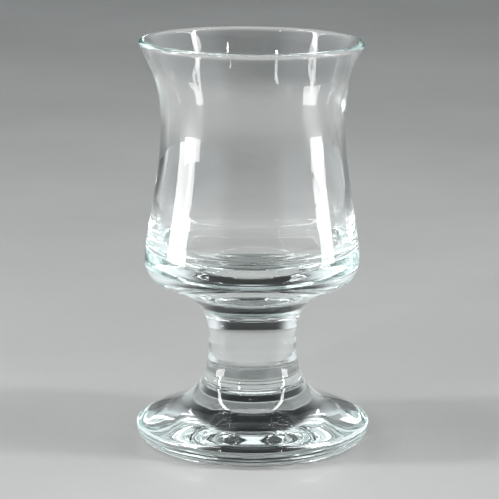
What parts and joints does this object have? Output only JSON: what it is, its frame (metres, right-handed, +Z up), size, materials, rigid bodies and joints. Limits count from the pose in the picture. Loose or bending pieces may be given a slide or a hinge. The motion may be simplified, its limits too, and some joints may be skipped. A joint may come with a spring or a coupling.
{
  "type": "shot glass",
  "caption": "Short-stemmed clear shot glass with a flared rim, a waisted bowl on a heavy solid base, a solid stem and a domed round foot.",
  "frame": {"origin": "centre of the foot's resting plane, on the axis of the glass", "axes": "+Z up along the axis of the glass towards the rim; +X and +Y are any two level directions, because the glass is round"},
  "size_m": [0.0492, 0.0492, 0.085],
  "materials": {
    "glass": "clear, fire polished"
  },
  "bodies": {
    "root": {"bowl": "glass", "stem": "glass", "foot": "glass"}
  },
  "joints": []
}
